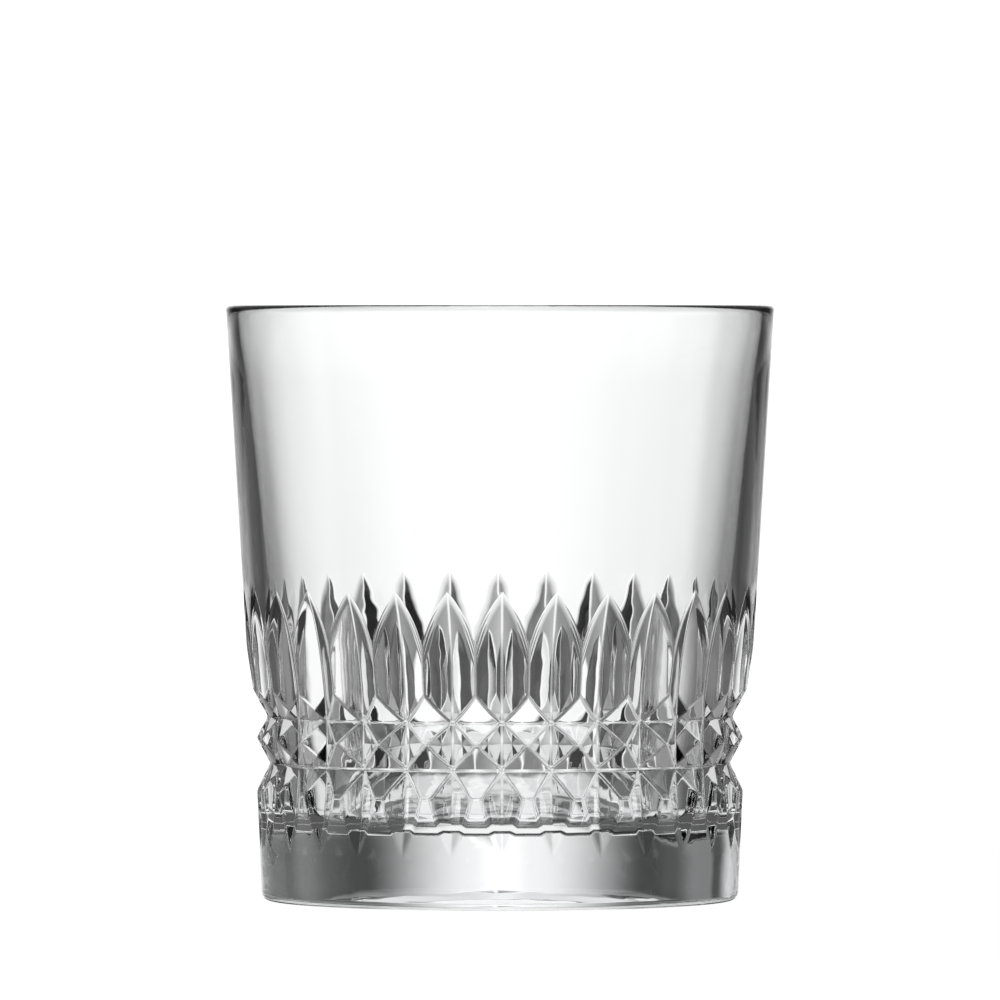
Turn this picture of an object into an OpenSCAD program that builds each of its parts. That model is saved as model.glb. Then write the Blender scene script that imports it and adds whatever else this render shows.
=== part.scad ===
// Whiskey tumbler in clear glass: one solid piece, poured, moulded and then cut.
// A gently flared cup stands on a thick base. Round its lower half runs a band of cut
// decoration: upright mitre cuts side by side, each with a pointed head and foot, crossed
// by two ring cuts that leave a row of small pyramids between them.
// The origin is the centre of the resting plane, with +Z up. One mitre cut faces -Y.

/* [Cup] */
// Height from the resting plane to the top of the lip
height = 93; // [88:0.5:98]
// Outer diameter at the lip
rim_d = 85.8; // [83:0.2:90]
// Outer diameter of the flared wall's cone where it would meet the resting plane
wall_foot_d = 74.6; // [73.6:0.2:76]
// Thickness of the wall at the lip, which is fully rounded
lip_t = 1.5; // [1.2:0.1:2]

/* [Cavity] */
// Height of the cavity's floor above the resting plane
floor_z = 11.3; // [8:0.1:14]
// Radius of the corner between the floor and the wall
floor_round = 3.5; // [2:0.1:6]
// Millimetres that the lower part of the wall's inside goes outwards for each millimetre up
inner_slope = 0.0685; // [0.06:0.0005:0.08]
// Height of the bend where the wall's inside starts to flare more
bend_z = 49; // [46:0.5:54]
// Diameter of the cavity at the bend
bend_d = 72.58; // [72:0.02:73]
// Share of the widening above the bend that comes late, towards the lip
flare_share = 0.2; // [0:0.02:0.4]

/* [Base] */
// Outer diameter of the base at the resting plane, before its edge is rounded
base_d = 74.5; // [73.6:0.1:75.5]
// Radius of the base's bottom edge
base_round = 1.3; // [0.5:0.1:2]
// Diameter of the base at its shoulder, under the lower ring cut
shoulder_d = 76.06; // [75.4:0.02:76.6]
// Height of the shoulder
shoulder_z = 17.2; // [16.2:0.1:18]
// Diameter of the shallow dish under the base, inside the resting ring
dish_d = 52; // [40:1:60]
// Depth of the dish at its centre
dish_depth = 3; // [1:0.1:4]

/* [Ring cuts] */
// Height of the lower ring cut's valley
low_ring_z = 21.5; // [20.8:0.1:22.2]
// Diameter at the lower ring cut's valley
low_ring_d = 72; // [71.4:0.1:73]
// Height of the upper ring cut's valley
high_ring_z = 28.8; // [28.2:0.1:29.6]
// Diameter at the upper ring cut's valley
high_ring_d = 72.74; // [72:0.02:73.6]
// Height of the crest between the two ring cuts, where the pyramids have their points
crest_z = 25.4; // [24.8:0.1:25.8]
// Diameter at the crest
crest_d = 76.16; // [75.6:0.02:76.6]
// Millimetres that the upper ring cut's top face goes outwards for each millimetre up
top_face_slope = 0.56; // [0.5:0.02:0.7]

/* [Mitre cuts] */
// Number of upright cuts round the cup
cut_count = 30; // [28:2:32]
// Diameter across the cup at the deepest point of two opposite cuts
cut_waist_d = 72.24; // [71.8:0.02:72.8]
// Height of the deepest point of a cut
cut_waist_z = 23.9; // [22.5:0.1:25]
// Angle between a cut's two faces
cut_angle = 130; // [124:1:134]
// Radius of the long hollow curve that a cut's valley follows, which sets its length
sweep_radius = 79; // [72:1:90]

/* [Hidden] */

// Facets of a full circle: anything over 12 stands for a true circle
$fn = 120;
// Steps of the rounded corners and of the cavity's flared wall
ROUND_STEPS = 6;
FLARE_STEPS = 8;
// How far a cutter stands out past the glass, and the span of its curve that is used
CUTTER_REACH = 8;
CUTTER_SPAN = 60;

pitch = 360 / cut_count;
rim_r = rim_d / 2;
wall_foot_r = wall_foot_d / 2;
wall_slope = (rim_r - wall_foot_r) / height;
lip_r = lip_t / 2;

base_r = base_d / 2;
low_ring_r = low_ring_d / 2;
high_ring_r = high_ring_d / 2;
mouth_r = rim_r - lip_t;
bend_r = bend_d / 2;
inner_lean = atan(inner_slope);
corner_z = floor_z + floor_round * (1 - sin(inner_lean));
corner_r = bend_r - inner_slope * (bend_z - corner_z) - floor_round * cos(inner_lean);
dish_r = dish_d / 2;
dish_sphere_r = (dish_r * dish_r + dish_depth * dish_depth) / (2 * dish_depth);
dish_half_angle = asin(dish_r / dish_sphere_r);

cut_half_width = CUTTER_REACH * tan(cut_angle / 2);

// Radius of the flared outer wall at height z
function wall_r(z) = wall_foot_r + wall_slope * z;

// Height where the upper ring cut's top face comes out through the wall
band_top_z = (wall_foot_r - high_ring_r + top_face_slope * high_ring_z) / (top_face_slope - wall_slope);

// Radius of the cavity at share t of the way from its bend to the lip
function flare_r(t) = bend_r + (mouth_r - bend_r) * t * (1 - flare_share + flare_share * t);

// Points of an arc about [x, y] from angle a0 to a1
function arc(x, y, r, a0, a1, steps) =
    [for (i = [0:steps]) let (a = a0 + (a1 - a0) * i / steps) [x + r * cos(a), y + r * sin(a)]];

// The outline of the whole cup in the r-z plane, anticlockwise from the axis
outline = concat(
    arc(0, dish_depth - dish_sphere_r, dish_sphere_r, 90, 90 - dish_half_angle, ROUND_STEPS),
    arc(base_r - base_round, base_round, base_round, -90, 0, ROUND_STEPS),
    [
        [shoulder_d / 2, shoulder_z],
        [low_ring_r, low_ring_z],
        [crest_d / 2, crest_z],
        [high_ring_r, high_ring_z],
        [wall_r(band_top_z), band_top_z]
    ],
    arc(rim_r - lip_r, height - lip_r, lip_r, 0, 180, 2 * ROUND_STEPS),
    [for (i = [FLARE_STEPS - 1:-1:0])
        let (t = i / FLARE_STEPS)
        [flare_r(t), bend_z + t * (height - bend_z)]],
    arc(corner_r, floor_z + floor_round, floor_round, -inner_lean, -90, ROUND_STEPS),
    [[0, floor_z]]
);

// The cup before it is cut upright: base, wall, cavity, dish and both ring cuts
module cup_blank() {
    rotate([0, 0, pitch / 4])
        rotate_extrude()
            polygon(outline);
}

// One upright cut, along +X: a V edge that comes in, passes its deepest point and goes out
module mitre_cut() {
    translate([cut_waist_d / 2 + sweep_radius, 0, cut_waist_z])
        rotate([90, 0, 0])
            rotate([0, 0, 180 - CUTTER_SPAN / 2])
                rotate_extrude(angle = CUTTER_SPAN)
                    polygon([
                        [sweep_radius, 0],
                        [sweep_radius - CUTTER_REACH, cut_half_width],
                        [sweep_radius - CUTTER_REACH, -cut_half_width]
                    ]);
}

// The whole tumbler
module tumbler() {
    color([0.86, 0.9, 0.92, 0.45])
        difference() {
            cup_blank();
            for (i = [0:cut_count - 1])
                rotate([0, 0, -90 + i * pitch])
                    mitre_cut();
        }
}

tumbler();
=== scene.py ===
"""Looks of the whiskey tumbler: one piece of clear cut glass, in a plain bright studio.

The glass is one watertight mesh. Its cut band is worked out as a radius at every angle and
height: the turned outline, less the ring cuts, less the upright mitre cuts, with every edge
softened as polishing leaves it. Everything below is in millimetres of the design until
make_mesh() puts it into the frame's metres.
"""

import math

import bpy
import numpy as np
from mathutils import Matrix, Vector
from mathutils.geometry import delaunay_2d_cdt


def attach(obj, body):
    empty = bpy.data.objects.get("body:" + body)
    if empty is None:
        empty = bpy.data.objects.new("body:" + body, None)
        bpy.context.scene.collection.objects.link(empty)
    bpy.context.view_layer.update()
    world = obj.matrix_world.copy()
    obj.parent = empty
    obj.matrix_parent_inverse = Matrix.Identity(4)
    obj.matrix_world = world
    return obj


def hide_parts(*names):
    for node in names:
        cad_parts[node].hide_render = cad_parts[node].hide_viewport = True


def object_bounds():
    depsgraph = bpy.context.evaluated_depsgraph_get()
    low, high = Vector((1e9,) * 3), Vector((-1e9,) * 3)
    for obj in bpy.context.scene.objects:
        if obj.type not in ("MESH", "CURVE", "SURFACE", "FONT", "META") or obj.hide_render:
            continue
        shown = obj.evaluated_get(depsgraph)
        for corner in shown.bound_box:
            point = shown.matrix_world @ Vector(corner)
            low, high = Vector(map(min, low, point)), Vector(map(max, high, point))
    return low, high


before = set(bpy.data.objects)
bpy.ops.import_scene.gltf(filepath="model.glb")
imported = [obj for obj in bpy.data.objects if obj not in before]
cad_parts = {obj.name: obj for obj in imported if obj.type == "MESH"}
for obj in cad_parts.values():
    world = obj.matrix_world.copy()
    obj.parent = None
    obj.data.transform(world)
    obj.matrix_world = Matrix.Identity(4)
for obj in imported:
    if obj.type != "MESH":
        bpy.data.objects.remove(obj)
cad_low, cad_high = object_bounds()

# ---- Driving sizes, in millimetres of the design ---------------------------------------

HEIGHT = 93.0
MM = (cad_high.z - cad_low.z) / HEIGHT      # one of the design's millimetres, in metres
RIM_R = (cad_high.x - cad_low.x) / 2 / MM   # the lip is the widest part of the frame

WALL_FOOT_R = 37.3                          # the wall's cone, taken down to the floor
LIP_R = 0.75                                # the lip is fully rounded
FLOOR_Z, FLOOR_ROUND = 11.3, 3.5
BEND_Z, BEND_R, BEND_SOFT = 49.0, 36.29, 0.055  # where the cavity's wall starts to flare
LOW_SLOPE, FLARE_SLOPE, FLARE_BOW = 0.0685, 0.0925, 0.0005
BEND_LIP, BEND_REACH = 0.08, 4.0            # a little extra flare just above the bend

BASE_R, BASE_ROUND = 37.25, 1.3
FOOT_OUT = 0.06                             # how much wider the base is at the top of that round
RING_MIDDLE_R = 31.0                        # the middle of the flat ring that it rests on
SHOULDER_Z, SHOULDER_R = 17.2, 38.03
DISH_R, DISH_DEPTH, DISH_EDGE = 26.0, 3.0, 0.25

LOW_RING_Z, LOW_RING_R = 21.5, 36.0
CREST_Z, CREST_R = 25.4, 38.08
HIGH_RING_Z, HIGH_RING_R = 28.8, 36.37
TOP_FACE_SLOPE = 0.56

CUT_COUNT = 30
CUT_ANGLE = math.radians(130)
CUT_R, CUT_WAIST_Z = 36.12, 23.9            # a valley's least radius, and its height
SWEEP_R = 82.0                              # a valley's long curve, hollow side outwards
CUT_FOOT_Z, CUT_HEAD_Z = 11.5, 42.9         # where the wheel's own rim takes over
WHEEL_R = 30.0

VALLEY_SOFT = 0.26                          # half the width of a polished valley's round
RIDGE_SOFT = 0.27                           # the same for the ridge between two cuts
RING_SOFT = 0.28                            # how far the ring cuts' edges are rounded
EDGE_SOFT = 0.25                            # the same for the edges of the mitre cuts
WALL_SOFT = 0.34                            # and for their edges high up, in the plain wall
WALL_SOFT_FROM, WALL_SOFT_OVER = 3.0, 8.0   # how far over the high ring that starts, and how fast

# ---- The shape of the glass ------------------------------------------------------------

PITCH = 2 * math.pi / CUT_COUNT
HALF_PITCH = PITCH / 2
FACE_RISE = 1 / math.tan(CUT_ANGLE / 2)     # outwards for each millimetre off the valley
WALL_SLOPE = (RIM_R - WALL_FOOT_R) / HEIGHT
WALL_LEAN = math.atan(WALL_SLOPE)
BAND_LOW, BAND_HIGH = 6.6, 50.2             # the cut band, with a little plain glass round it


def wall_r(z):
    """Radius of the plain flared wall at height z."""
    return WALL_FOOT_R + WALL_SLOPE * z


def line_r(z, z0, r0, z1, r1):
    """Radius at height z on the straight line through two points of the outline."""
    return r0 + (r1 - r0) * (z - z0) / (z1 - z0)


def smooth_min(a, b, soft):
    """The smaller of a and b, rounded where they come within soft of each other."""
    near = np.maximum(soft - np.abs(a - b), 0) / soft
    return np.minimum(a, b) - near * near * soft / 4


def smooth_max(a, b, soft):
    """The larger of a and b, rounded in the same way."""
    return -smooth_min(-a, -b, soft)


def turned_r(z):
    """Radius of the outside before the mitre cuts: base, two ring cuts and flared wall."""
    base = line_r(z, 0, BASE_R, SHOULDER_Z, SHOULDER_R)
    body = np.where(z < CREST_Z, base, wall_r(z))
    low_ring = smooth_max(
        line_r(z, SHOULDER_Z, SHOULDER_R, LOW_RING_Z, LOW_RING_R),
        line_r(z, LOW_RING_Z, LOW_RING_R, CREST_Z, CREST_R),
        RING_SOFT,
    )
    high_ring = smooth_max(
        line_r(z, CREST_Z, CREST_R, HIGH_RING_Z, HIGH_RING_R),
        HIGH_RING_R + TOP_FACE_SLOPE * (z - HIGH_RING_Z),
        RING_SOFT,
    )
    return smooth_min(body, smooth_min(low_ring, high_ring, EDGE_SOFT), EDGE_SOFT)


def mitre_r(angle, z):
    """Radius of one mitre cut's surface at an angle from its valley and a height.

    The wheel's edge follows a long hollow curve up the glass, and comes in and lifts off
    along its own rim, which gives the two pointed ends.
    """
    sweep_x = CUT_R + SWEEP_R
    r = CUT_R + 2 + 0 * angle
    for _ in range(9):
        x, side = r * np.cos(angle), np.abs(r * np.sin(angle))
        side = np.where(side < VALLEY_SOFT, side * side / (2 * VALLEY_SOFT) + VALLEY_SOFT / 2, side)
        out = side * FACE_RISE
        surface = rim_x(sweep_x, CUT_WAIST_Z, SWEEP_R - out, z)
        for end_z in (CUT_FOOT_Z, CUT_HEAD_Z):
            sine = (end_z - CUT_WAIST_Z) / SWEEP_R
            past = (z - CUT_WAIST_Z) * np.sign(sine) > (SWEEP_R - out) * abs(sine)
            end_x = sweep_x - (SWEEP_R - WHEEL_R) * math.sqrt(1 - sine * sine)
            end = rim_x(end_x, CUT_WAIST_Z + (SWEEP_R - WHEEL_R) * sine, WHEEL_R - out, z)
            surface = np.where(past, end, surface)
        r = r - (x - surface)
    return r


def rim_x(x, z0, radius, z):
    """The near side, at height z, of a wheel's rim about (x, z0)."""
    return x - np.sqrt(np.maximum(radius * radius - (z - z0) ** 2, 0))


def cut_r(angle, z):
    """Radius of the mitre cuts, this one and its neighbour across the ridge."""
    return smooth_min(mitre_r(angle, z), mitre_r(PITCH - angle, z), EDGE_SOFT)


def edge_soft(z):
    """How far the mitre cuts' edges are rounded at height z."""
    share = np.clip((z - HIGH_RING_Z - WALL_SOFT_FROM) / WALL_SOFT_OVER, 0, 1)
    return EDGE_SOFT + (WALL_SOFT - EDGE_SOFT) * share


def outer_r(angle, z):
    """Radius of the finished outside at an angle from the nearest valley and a height."""
    return smooth_min(turned_r(z), cut_r(angle, z), edge_soft(z))


def cavity_r(z):
    """Radius of the cavity's wall: nearly straight low down, flared above its bend."""
    above = z - BEND_Z
    low = BEND_R + LOW_SLOPE * above
    past = np.maximum(above, 0)
    high = BEND_R + FLARE_SLOPE * above + FLARE_BOW * past * past
    high = high + BEND_LIP * np.where(above < 0, above / BEND_REACH, 1 - np.exp(-past / BEND_REACH))
    return smooth_max(low, high, BEND_SOFT)


# ---- The mesh of the cut band ----------------------------------------------------------

FINE_ROW, PLAIN_ROW, LEAST_ROW = 0.34, 0.65, 0.09  # heights between the band's rows
POINTS_Z = 42.0                             # where the lancets' points start
PLAIN_COLUMNS = 4                           # columns of plain glass in half a cut
LEAST_COLUMN = 0.07                         # the least width between two columns
SEARCH_STEPS = 240                          # steps across half a cut in which its edges are found


def band_heights():
    """Heights of the band's rows: close together where the cuts meet."""
    pyramids = np.arange(SHOULDER_Z - 1.2, HIGH_RING_Z + 6.2, FINE_ROW)
    tails = np.arange(BAND_LOW + 0.8, pyramids[0] - 0.2, PLAIN_ROW)
    lancets = np.arange(pyramids[-1] + 0.5, POINTS_Z, PLAIN_ROW)
    points = np.arange(POINTS_Z, BAND_HIGH - 0.4, FINE_ROW)
    creases = [z + d for z in (SHOULDER_Z, LOW_RING_Z, CREST_Z, HIGH_RING_Z) for d in (-0.25, 0, 0.25)]
    rows = np.unique(np.round(np.concatenate([tails, pyramids, lancets, points, creases]), 3))
    kept = [rows[0]]
    for z in rows[1:]:
        if z - kept[-1] > LEAST_ROW:
            kept.append(z)
    return kept


def band_points():
    """Points of half a cut, as (angle, height): its edges, its valley and its ridge."""
    fine = np.linspace(0, HALF_PITCH, SEARCH_STEPS + 1)
    plain = [HALF_PITCH * i / PLAIN_COLUMNS for i in range(PLAIN_COLUMNS + 1)]
    points = [(a, z) for z in (BAND_LOW, BAND_HIGH) for a in plain]
    for z in band_heights():
        r = float(wall_r(z))
        valley = [VALLEY_SOFT * s / r for s in (0.5, 1.0)]
        ridge = [HALF_PITCH - RIDGE_SOFT * s / r for s in (0.5, 1.0)]
        gap = mitre_r(fine, z) - turned_r(np.full_like(fine, z))
        soft = float(edge_soft(z))
        edges = [
            float(np.interp(level * soft, gap, fine))
            for level in (-1, -0.5, 0, 0.5, 1)
            if gap[0] < level * soft < gap[-1]
        ]
        row = [0.0, HALF_PITCH]
        for a in edges + valley + ridge + plain[1:-1]:
            if min(abs(a - b) for b in row) * r > LEAST_COLUMN:
                row.append(a)
        points += [(a, z) for a in row]
    return points


def band_triangles(points):
    """The triangles that join the band's points, laid flat in millimetres."""
    flat = [Vector((a * BASE_R, z)) for a, z in points]
    _, _, faces, origin, *_ = delaunay_2d_cdt(flat, [], [], 0, 1e-7)
    index = [o[0] for o in origin]
    return [tuple(index[v] for v in face) for face in faces]


def band_normals(points):
    """Outward directions at the band's points, as (radial, sideways, up)."""
    a, z = np.array(points).T
    step = 1e-4
    r = outer_r(a, z)
    by_angle = (outer_r(a + step, z) - outer_r(np.abs(a - step), z)) / (2 * step)
    by_angle = np.where(a < 1e-9, 0, by_angle)
    by_height = (outer_r(a, z + step) - outer_r(a, z - step)) / (2 * step)
    normal = np.stack([r, -by_angle, -by_height * r], 1)
    return normal / np.linalg.norm(normal, axis=1, keepdims=True)


def turn(vectors, angle):
    """(radial, sideways, up) vectors, turned to stand at an angle round the axis."""
    out, side, up = vectors.T
    return np.stack([out * np.cos(angle) - side * np.sin(angle),
                     out * np.sin(angle) + side * np.cos(angle), up], 1)


def cut_band():
    """The whole cut band: half a cut, mirrored and set round the glass."""
    points = band_points()
    angle, z = np.array(points).T
    normals = band_normals(points)
    faces = np.array(band_triangles(points))
    a, b, c = (np.array([angle, z])[:, faces[:, i]] for i in range(3))
    area = (b[0] - a[0]) * (c[1] - a[1]) - (b[1] - a[1]) * (c[0] - a[0])
    faces[area < 0] = faces[area < 0][:, ::-1]
    r = outer_r(angle, z)
    flip = np.array([1, -1, 1])
    verts, norms, tris = [], [], []
    for i in range(CUT_COUNT):
        middle = -math.pi / 2 + i * PITCH
        for side in (1, -1):
            at = middle + side * angle
            start = sum(len(v) for v in verts)
            verts.append(np.stack([r * np.cos(at), r * np.sin(at), z], 1))
            norms.append(turn(normals if side == 1 else normals * flip, at))
            tris.append((faces if side == 1 else faces[:, ::-1]) + start)
    return np.concatenate(verts), np.concatenate(norms), np.concatenate(tris)


# ---- The mesh of the turned surfaces ---------------------------------------------------


def arc(r0, z0, radius, start, end, steps):
    """Points of an arc of the outline, from one angle in degrees to another."""
    angles = np.radians(np.linspace(start, end, steps + 1))
    return [(r0 + radius * math.cos(a), z0 + radius * math.sin(a)) for a in angles]


def dish_z(r):
    """Height of the dish's surface at radius r: nearly flat in the middle, steep at its rim."""
    return smooth_max(DISH_DEPTH * (1 - (r / DISH_R) ** 3), np.float64(0), DISH_EDGE)


def under_outline():
    """The underside and the foot, from the dish's centre out and up to the cut band."""
    middle = np.linspace(0, DISH_R - 5, 10)
    edge = np.linspace(DISH_R - 4.5, DISH_R + 1.5, 18)
    dish = [(r, float(dish_z(r))) for r in np.concatenate([middle, edge])]
    foot = arc(BASE_R + FOOT_OUT - BASE_ROUND, BASE_ROUND, BASE_ROUND, -90, -3, 9)
    side = [(float(turned_r(np.float64(z))), z) for z in (3, 5, BAND_LOW)]
    return dish + [(RING_MIDDLE_R, 0)] + foot + side


def cavity_heights(low):
    """Heights of the rows down the cavity's wall: close together round its bend."""
    flare = np.linspace(HEIGHT - LIP_R - 1, BEND_Z + 5, 13)
    bend = np.linspace(BEND_Z + 4, BEND_Z - 2, 13)
    return np.concatenate([flare, bend, np.linspace(BEND_Z - 5, low + 0.3, 5)])


def upper_outline():
    """From the top of the cut band over the lip and down the cavity to its centre."""
    wall = [(float(wall_r(z)), z) for z in np.linspace(BAND_HIGH, HEIGHT - LIP_R - 0.5, 5)]
    lip = arc(RIM_R - LIP_R, HEIGHT - LIP_R, LIP_R, math.degrees(-WALL_LEAN), 172, 14)
    low = FLOOR_Z + FLOOR_ROUND
    inside = [(float(cavity_r(z)), z) for z in cavity_heights(low)]
    lean = math.degrees(math.atan(LOW_SLOPE))
    centre = float(cavity_r(low)) - FLOOR_ROUND * math.cos(math.radians(lean))
    corner = arc(centre, low, FLOOR_ROUND, -lean, -90, 10)
    floor = [(centre * s, FLOOR_Z) for s in (0.75, 0.5, 0.25, 0.08, 0)]
    return wall + lip + inside + corner + floor


def outline_normals(outline):
    """Outward directions along an outline that has the glass on its left."""
    p = np.array(outline, float)
    ahead = np.gradient(p, axis=0)
    steps = np.linalg.norm(np.diff(p, axis=0), axis=1)
    back, front = np.diff(p, axis=0)[:-1], np.diff(p, axis=0)[1:]
    ahead[1:-1] = back / steps[:-1, None] ** 2 + front / steps[1:, None] ** 2
    normal = np.stack([ahead[:, 1], -ahead[:, 0]], 1)
    normal /= np.linalg.norm(normal, axis=1, keepdims=True)
    for end in (0, -1):
        if p[end, 0] == 0:
            normal[end] = (0, np.sign(normal[end, 1]))
    return normal


def lathe(outline, columns):
    """An outline turned round the axis: its points, normals and triangles."""
    p, n = np.array(outline, float), outline_normals(outline)
    angles = np.arange(columns) * 2 * math.pi / columns - math.pi / 2
    cos, sin = np.cos(angles), np.sin(angles)
    rows = len(p)
    verts = np.stack([np.outer(p[:, 0], cos), np.outer(p[:, 0], sin),
                      np.repeat(p[:, 1:], columns, 1)], 2).reshape(-1, 3)
    norms = np.stack([np.outer(n[:, 0], cos), np.outer(n[:, 0], sin),
                      np.repeat(n[:, 1:], columns, 1)], 2).reshape(-1, 3)
    row, col = np.meshgrid(np.arange(rows - 1), np.arange(columns), indexing="ij")
    a = (row * columns + col).ravel()
    b = (row * columns + (col + 1) % columns).ravel()
    c, d = b + columns, a + columns
    tris = np.concatenate([np.stack([a, b, c], 1), np.stack([a, c, d], 1)])
    return verts, norms, tris


def weld(parts):
    """The parts' points made one where they meet, and triangles without area dropped."""
    verts = np.concatenate([v for v, _, _ in parts])
    norms = np.concatenate([n for _, n, _ in parts])
    starts = np.cumsum([0] + [len(v) for v, _, _ in parts])
    tris = np.concatenate([t + s for (_, _, t), s in zip(parts, starts)])
    _, first, same = np.unique(np.round(verts, 5), axis=0, return_index=True, return_inverse=True)
    tris = same.reshape(-1)[tris]
    whole = (tris[:, 0] != tris[:, 1]) & (tris[:, 1] != tris[:, 2]) & (tris[:, 0] != tris[:, 2])
    return verts[first], norms[first], tris[whole]


def make_mesh(name, parts):
    """One smooth-shaded mesh in the frame's metres, with its exact normals."""
    verts, norms, tris = weld(parts)
    mesh = bpy.data.meshes.new(name)
    mesh.from_pydata((verts * MM).tolist(), [], tris.tolist())
    mesh.shade_smooth()
    mesh.normals_split_custom_set_from_vertices(norms.tolist())
    piece = bpy.data.objects.new(name, mesh)
    bpy.context.scene.collection.objects.link(piece)
    return piece


def make_tumbler():
    """The glass itself, as one closed piece."""
    columns = CUT_COUNT * 2 * PLAIN_COLUMNS
    parts = [lathe(under_outline(), columns), cut_band(), lathe(upper_outline(), columns)]
    return make_mesh("cut_glass_tumbler", parts)


# ---- Material --------------------------------------------------------------------------

CLEAR, COOL = (0.99, 0.993, 0.993, 1), (0.965, 0.982, 0.99, 1)  # thin glass, and the thick base
TINT_FROM, TINT_FULL = FLOOR_Z + 10, 2.0    # the heights between which the tint deepens
RIPPLE_PER_M, RIPPLE_DEPTH = 230.0, 0.00004  # the soft waves that fire polish leaves on the cuts
WALL_RIPPLE = 0.12                          # how much of them the plain wall has
SMUDGE_PER_M, SMUDGE_ROUGH = 75.0, 0.02     # faint smudges of handling
WEAR_PER_M, WEAR_ROUGH, WEAR_Z = 1800.0, 0.3, 0.12  # fine wear of the resting ring, up to WEAR_Z mm


def clear_glass():
    """Clear polished crystal: soft ripples in the cut band, faint smudges, a worn resting ring."""
    mat = bpy.data.materials.new("clear_glass")
    mat.use_nodes = True
    tree = mat.node_tree
    bsdf = tree.nodes["Principled BSDF"]
    bsdf.inputs["Transmission Weight"].default_value = 1.0
    bsdf.inputs["IOR"].default_value = 1.54
    place = tree.nodes.new("ShaderNodeTexCoord").outputs["Object"]
    split = tree.nodes.new("ShaderNodeSeparateXYZ")
    tree.links.new(place, split.inputs[0])
    height = math_node(tree, "DIVIDE", split.outputs["Z"], MM)
    tree.links.new(tint_by_height(tree, height), bsdf.inputs["Base Color"])
    tree.links.new(smudges_and_wear(tree, place, height), bsdf.inputs["Roughness"])
    tree.links.new(ripples(tree, place, height), bsdf.inputs["Normal"])
    return mat


def tint_by_height(tree, height):
    """The glass's colour, a little cooler in the thick base."""
    tint = tree.nodes.new("ShaderNodeMix")
    tint.data_type = "RGBA"
    tint.inputs["A"].default_value, tint.inputs["B"].default_value = CLEAR, COOL
    tree.links.new(step_node(tree, height, TINT_FROM, TINT_FULL), tint.inputs["Factor"])
    return tint.outputs["Result"]


def smudges_and_wear(tree, place, height):
    """Roughness: faint smudges all over, and fine wear on the resting ring."""
    smudge = step_node(tree, noise_node(tree, place, SMUDGE_PER_M, 4), 0.56, 0.74)
    smudge = math_node(tree, "MULTIPLY", smudge, SMUDGE_ROUGH)
    wear = math_node(tree, "MULTIPLY", noise_node(tree, place, WEAR_PER_M, 3), WEAR_ROUGH)
    wear = math_node(tree, "MULTIPLY", wear, step_node(tree, height, WEAR_Z, 0.0))
    return math_node(tree, "MAXIMUM", smudge, wear)


def ripples(tree, place, height):
    """The polish's soft waves, strong in the cut band and faint in the plain wall."""
    band = step_node(tree, height, BAND_HIGH + 2, BAND_HIGH - 6)
    band = math_node(tree, "MULTIPLY_ADD", band, 1 - WALL_RIPPLE, WALL_RIPPLE)
    bump = tree.nodes.new("ShaderNodeBump")
    bump.inputs["Distance"].default_value = RIPPLE_DEPTH
    waves = math_node(tree, "MULTIPLY", noise_node(tree, place, RIPPLE_PER_M, 1), band)
    tree.links.new(waves, bump.inputs["Height"])
    return bump.outputs["Normal"]


def noise_node(tree, place, per_metre, detail):
    """A cloud of noise fixed to the piece, from 0 to 1."""
    node = tree.nodes.new("ShaderNodeTexNoise")
    node.inputs["Scale"].default_value = per_metre
    node.inputs["Detail"].default_value = detail
    tree.links.new(place, node.inputs["Vector"])
    return node.outputs["Fac"]


# ---- Studio ----------------------------------------------------------------------------

TABLE_R = 0.2
FLANKS = 0.055                              # brightness of the studio where no light stands
# The studio's lights, by the angle in degrees that a direction leans to the left (below 0) or
# right: where each starts, is full, starts to fade and ends, and how bright it is
LIGHTS = (
    (-100, -95, -69, -57, 0.95),            # a lit panel abeam on the left
    (-54.5, -51, -44, -35, 0.17),           # a faint strip between it and the sheet
    (-26.5, -4.5, 3.5, 25.5, 0.93),         # the lit white sheet behind the glass
    (-5, 0, 0, 5, 0.22),                    # its bright middle
    (34, 44, 95, 100, 0.09),                # faint light on the right
    (62, 90, 95, 100, 0.62),                # and the dimmer panel abeam there
)
# Where that light falls off upwards and downwards: from one height of a direction to another
# (1 is straight up), and by what share
DIMS = ((0.25, 0.5, 0.2), (-0.06, -0.2, 0.2), (-0.45, -0.7, 0.2))
OVERHEAD_WIDER, OVERHEAD_LIGHT = 0.7, 0.15  # overhead the sheet spreads, and a little light is added
HIGH_FILL, LOW_FILL = 0.24, 0.8             # the least light above the flanks, and below them
CAMERA_SIDE = 0.35                          # how bright the camera's side of the studio is
FRONT_TABLE = 0.95                          # brightness of the table before the glass
UNDER_LIGHT = 0.95                          # and of the painted glow on the table under the glass
UNDER_SIDE, SIDE_FROM, SIDE_TO = 0.9, 12.0, 21.0  # how much painted shade darkens the table to either side
# Two patches of painted shadow on the table under the glass, seen only through it: the middle, half the
# size and the soft edge of each, in millimetres, and how much of the painted light it takes
PAINTED_SHADES = [((1.0, -17.5), (21.0, 9.5), 1.2, 0.97), ((0.0, 15.5), (22.0, 7.5), 1.5, 0.95)]


def make_floor():
    """A round white table, with painted light and shade under the glass; past the glass's foot it lets
    the studio's light through.
    """
    steps = 96
    ring = [2 * math.pi * i / steps for i in range(steps)]
    corners = [(TABLE_R * math.cos(a), TABLE_R * math.sin(a), 0) for a in ring]
    mesh = bpy.data.meshes.new("floor")
    mesh.from_pydata(corners, [], [tuple(range(steps))])
    floor = bpy.data.objects.new("floor", mesh)
    bpy.context.scene.collection.objects.link(floor)
    mesh.materials.append(white_table())


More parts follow.
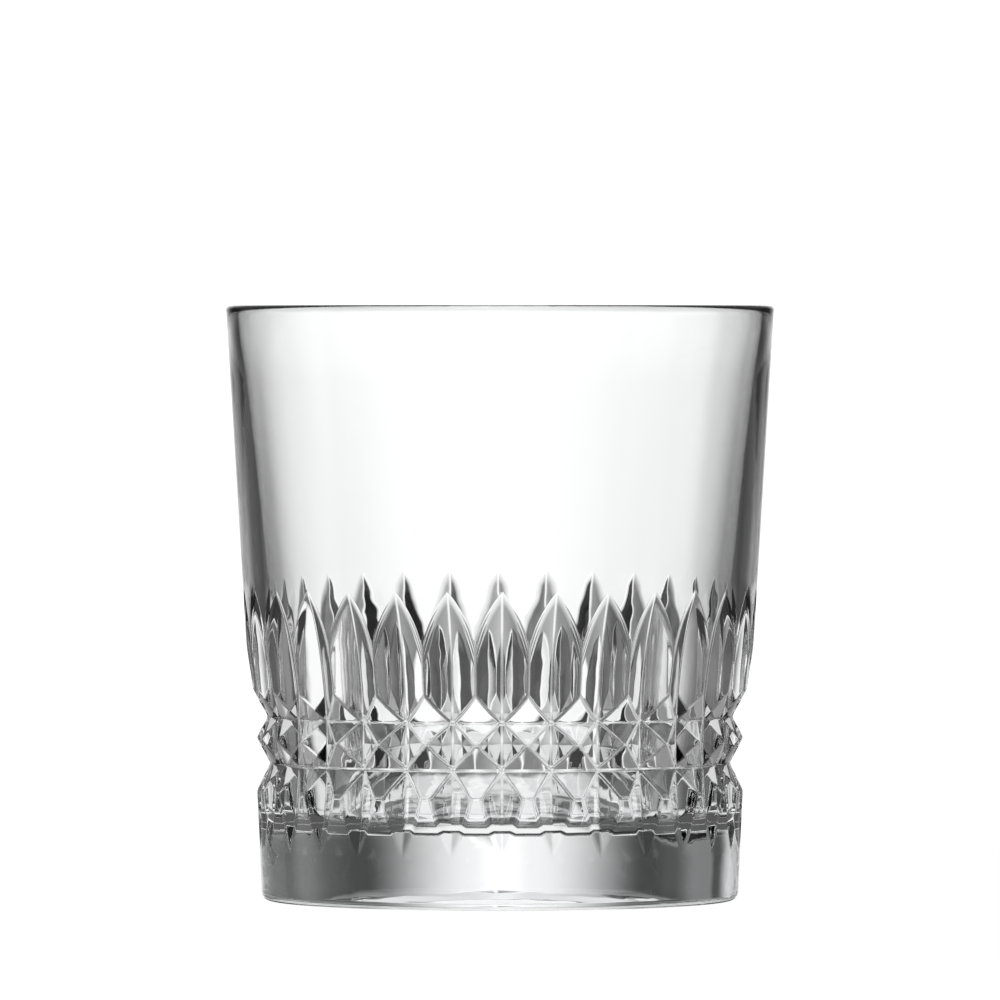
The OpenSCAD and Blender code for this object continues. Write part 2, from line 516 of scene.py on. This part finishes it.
def white_table():
    """Plain white to the camera; under the glass it glows with painted light and painted shade, and past
    it, let through.
    """
    mat = bpy.data.materials.new("white_table")
    mat.use_nodes = True
    tree = mat.node_tree
    tree.nodes.remove(tree.nodes["Principled BSDF"])
    place = tree.nodes.new("ShaderNodeTexCoord").outputs["Object"]
    length = tree.nodes.new("ShaderNodeVectorMath")
    length.operation = "LENGTH"
    tree.links.new(place, length.inputs[0])
    from_middle = math_node(tree, "DIVIDE", length.outputs["Value"], MM)
    seen = tree.nodes.new("ShaderNodeLightPath").outputs["Is Camera Ray"]
    glow = tree.nodes.new("ShaderNodeEmission")
    # Under the glass the table glows with painted light and painted shade, seen only through the glass
    under = painted_table_light(tree, place)
    tree.links.new(math_node(tree, "MAXIMUM", under, seen), glow.inputs["Strength"])
    clear = tree.nodes.new("ShaderNodeBsdfTransparent")
    mix = tree.nodes.new("ShaderNodeMixShader")
    past = math_node(tree, "GREATER_THAN", from_middle, BASE_R)
    let_through = math_node(tree, "MULTIPLY", past, math_node(tree, "SUBTRACT", 1.0, seen))
    tree.links.new(let_through, mix.inputs[0])
    tree.links.new(glow.outputs[0], mix.inputs[1])
    tree.links.new(clear.outputs[0], mix.inputs[2])
    tree.links.new(mix.outputs[0], tree.nodes["Material Output"].inputs["Surface"])
    return mat


def painted_table_light(tree, place):
    """Painted light on the table under the glass, with painted shade to the sides and in patches."""
    split = tree.nodes.new("ShaderNodeSeparateXYZ")
    tree.links.new(place, split.inputs[0])
    across = math_node(tree, "DIVIDE", math_node(tree, "ABSOLUTE", split.outputs["X"]), MM)
    side = step_node(tree, across, SIDE_FROM, SIDE_TO)
    under = math_node(tree, "MULTIPLY_ADD", side, -UNDER_LIGHT * UNDER_SIDE, UNDER_LIGHT)
    # Each patch darkens the painted light with painted shadow
    for patch in PAINTED_SHADES:
        under = math_node(tree, "MULTIPLY", under, painted_shade_node(tree, place, *patch))
    return under


def painted_shade_node(tree, place, at, size, edge, depth):
    """A patch of painted shadow: 1, less depth inside an ellipse of the table."""
    shade = tree.nodes.new("ShaderNodeMapping")
    shade.inputs["Location"].default_value = [-a / s for a, s in zip(at, size)] + [0]
    shade.inputs["Scale"].default_value = [1 / (s * MM) for s in size] + [1]
    tree.links.new(place, shade.inputs["Vector"])
    away = tree.nodes.new("ShaderNodeVectorMath")
    away.operation = "LENGTH"
    tree.links.new(shade.outputs[0], away.inputs[0])
    share = edge / min(size)
    outside = step_node(tree, away.outputs["Value"], 1 - share, 1 + share)
    return math_node(tree, "MULTIPLY_ADD", outside, depth, 1 - depth)


def math_node(tree, operation, a, b=None, c=None):
    """A math node on sockets or numbers, and its output."""
    node = tree.nodes.new("ShaderNodeMath")
    node.operation = operation
    for socket, value in zip(node.inputs, (a, b, c)):
        if value is None:
            continue
        if isinstance(value, (int, float)):
            socket.default_value = value
        else:
            tree.links.new(value, socket)
    return node.outputs[0]


def lights_node(tree, lean):
    """Brightness of the studio's lights at the angle that a direction leans to one side."""
    total = FLANKS
    for start, full, fade, end, light in LIGHTS:
        rise = step_node(tree, lean, start, full)
        lit = math_node(tree, "MULTIPLY", rise, step_node(tree, lean, end, fade))
        total = math_node(tree, "MULTIPLY_ADD", lit, light, total)
    return total


def step_node(tree, value, start, end):
    """0 before start, 1 after end, smooth between; start may be the larger."""
    if start > end:
        return math_node(tree, "SUBTRACT", 1.0, step_node(tree, value, end, start))
    node = tree.nodes.new("ShaderNodeMapRange")
    node.interpolation_type = "SMOOTHSTEP"
    node.inputs["From Min"].default_value, node.inputs["From Max"].default_value = start, end
    tree.links.new(value, node.inputs["Value"])
    return node.outputs["Result"]


def make_world():
    """The studio round the glass: a lit sheet behind and above it, dark flanks, lit panels abeam."""
    world = bpy.data.worlds.new("studio")
    bpy.context.scene.world = world
    world.use_nodes = True
    tree = world.node_tree
    coord = tree.nodes.new("ShaderNodeTexCoord")
    split = tree.nodes.new("ShaderNodeSeparateXYZ")
    tree.links.new(coord.outputs["Generated"], split.inputs[0])
    light = studio_light(tree, *split.outputs)
    background = tree.nodes["Background"]
    background.inputs["Color"].default_value = (1, 1, 1, 1)
    seen = tree.nodes.new("ShaderNodeLightPath").outputs["Is Camera Ray"]
    tree.links.new(math_node(tree, "MAXIMUM", light, seen), background.inputs["Strength"])
    bpy.context.scene.view_settings.view_transform = "Standard"


def studio_light(tree, x, y, z):
    """The studio's brightness in the direction (x, y, z)."""
    overhead = step_node(tree, z, 0.3, 0.7)
    lean = math_node(tree, "MULTIPLY", math_node(tree, "ARCSINE", x), 180 / math.pi)
    lean = math_node(tree, "DIVIDE", lean, math_node(tree, "MULTIPLY_ADD", overhead, OVERHEAD_WIDER, 1.0))
    light = lights_node(tree, lean)
    for start, end, less in DIMS:
        dim = math_node(tree, "MULTIPLY_ADD", step_node(tree, z, start, end), -less, 1.0)
        light = math_node(tree, "MULTIPLY", light, dim)
    light = math_node(tree, "MULTIPLY_ADD", overhead, OVERHEAD_LIGHT, light)
    high = math_node(tree, "MULTIPLY", step_node(tree, z, 0.08, 0.3), HIGH_FILL)
    low = math_node(tree, "MULTIPLY", step_node(tree, z, -0.24, -0.4), step_node(tree, z, -0.82, -0.62))
    low = math_node(tree, "MULTIPLY", low, LOW_FILL)
    light = math_node(tree, "MAXIMUM", light, math_node(tree, "MAXIMUM", high, low))
    ahead = step_node(tree, y, -0.3, 0.0)
    share = math_node(tree, "MULTIPLY_ADD", ahead, 1 - CAMERA_SIDE, CAMERA_SIDE)
    light = math_node(tree, "MULTIPLY", light, share)
    table = math_node(tree, "MULTIPLY", step_node(tree, z, -0.05, -0.25), FRONT_TABLE)
    table = math_node(tree, "MULTIPLY", table, math_node(tree, "SUBTRACT", 1.0, ahead))
    return math_node(tree, "MAXIMUM", light, table)


def make_camera():
    """The photograph's camera: a long lens, just under the lip's height."""
    away, eye_z, aim_z = 1.83, 89.0 * MM, 62.55 * MM
    turned = math.radians(0.48)
    data = bpy.data.cameras.new("camera")
    data.sensor_width, data.lens = 36, 421
    data.clip_start, data.clip_end = 0.05, 50
    cam = bpy.data.objects.new("camera", data)
    bpy.context.scene.collection.objects.link(cam)
    cam.location = (-away * math.sin(turned), -away * math.cos(turned), eye_z)
    look = Vector((0, 0, aim_z)) - cam.location
    cam.rotation_euler = look.to_track_quat("-Z", "Y").to_euler()
    bpy.context.scene.camera = cam


make_camera()
glass = make_tumbler()
glass.data.materials.append(clear_glass())
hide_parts("tumbler")
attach(glass, "root")
make_floor()
make_world()
